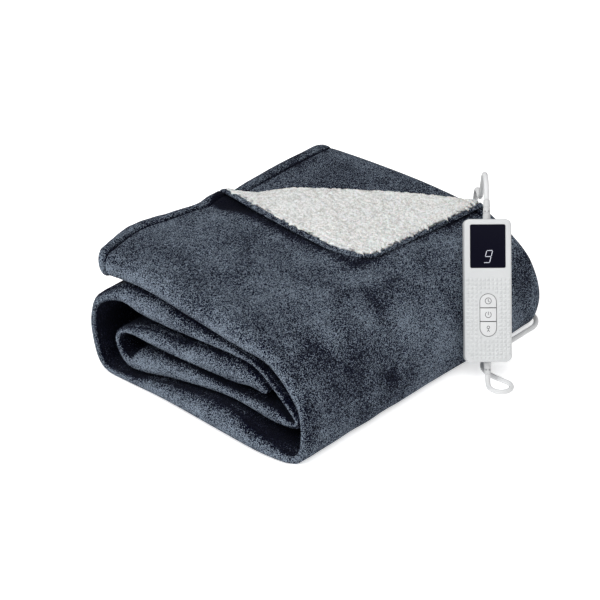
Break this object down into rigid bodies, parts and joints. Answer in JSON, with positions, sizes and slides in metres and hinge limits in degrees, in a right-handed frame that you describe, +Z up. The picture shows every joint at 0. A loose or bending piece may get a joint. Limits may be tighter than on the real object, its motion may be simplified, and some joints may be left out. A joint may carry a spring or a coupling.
{
  "type": "heated blanket",
  "caption": "Folded plush electric blanket with a fleece lining, a leaning wired hand control with push keys, and a coiled mains lead with its plug.",
  "frame": {"origin": "on the floor, under the middle of the box round the bundle and the hand control (the leads, the coil and the plug aren't counted)", "axes": "+X along the bundle, from its layered end with the round folds to its far end; +Y from the smooth front, where the hand control leans, to the back; +Z up"},
  "size_m": [0.5608, 0.4277, 0.2061],
  "materials": {
    "charcoal_plush": "short-pile plush, matt with a soft sheen",
    "white_fleece": "tufted lambswool-like fleece",
    "white_shell": "satin moulded plastic",
    "dark_window": "smooth dark tinted window",
    "key_white": "satin moulded plastic",
    "lead_white": "soft smooth sheath",
    "relief_white": "soft moulded sleeve",
    "tie_white": "satin strap",
    "pin_nickel": "plated pin"
  },
  "bodies": {
    "bundle": {"blanket": "charcoal_plush", "sherpa_lining": "white_fleece", "handset_back": "white_shell", "handset_front": "white_shell", "display_window": "dark_window", "relief_mains": "relief_white", "relief_blanket": "relief_white", "mains_lead": "lead_white", "blanket_lead": "lead_white", "mains_lead_end": "lead_white", "mains_coil": "lead_white", "coil_tie": "tie_white", "relief_plug": "relief_white", "plug_body": "white_shell", "plug_pin_left": "pin_nickel", "plug_pin_right": "pin_nickel", "blanket_inlet": "white_shell", "relief_inlet": "relief_white"},
    "key_timer": {"key_timer": "key_white"},
    "key_power": {"key_power": "key_white"},
    "key_heat": {"key_heat": "key_white"}
  },
  "joints": [
    {"name": "key_timer_press", "type": "slide", "parent": "bundle", "child": "key_timer", "axis": [0.6562, 0.5908, -0.4695], "range_m": [0, 0.0006], "stiffness_N_per_m": 1500},
    {"name": "key_power_press", "type": "slide", "parent": "bundle", "child": "key_power", "axis": [0.6562, 0.5908, -0.4695], "range_m": [0, 0.0006], "stiffness_N_per_m": 1500},
    {"name": "key_heat_press", "type": "slide", "parent": "bundle", "child": "key_heat", "axis": [0.6562, 0.5908, -0.4695], "range_m": [0, 0.0006], "stiffness_N_per_m": 1500}
  ]
}
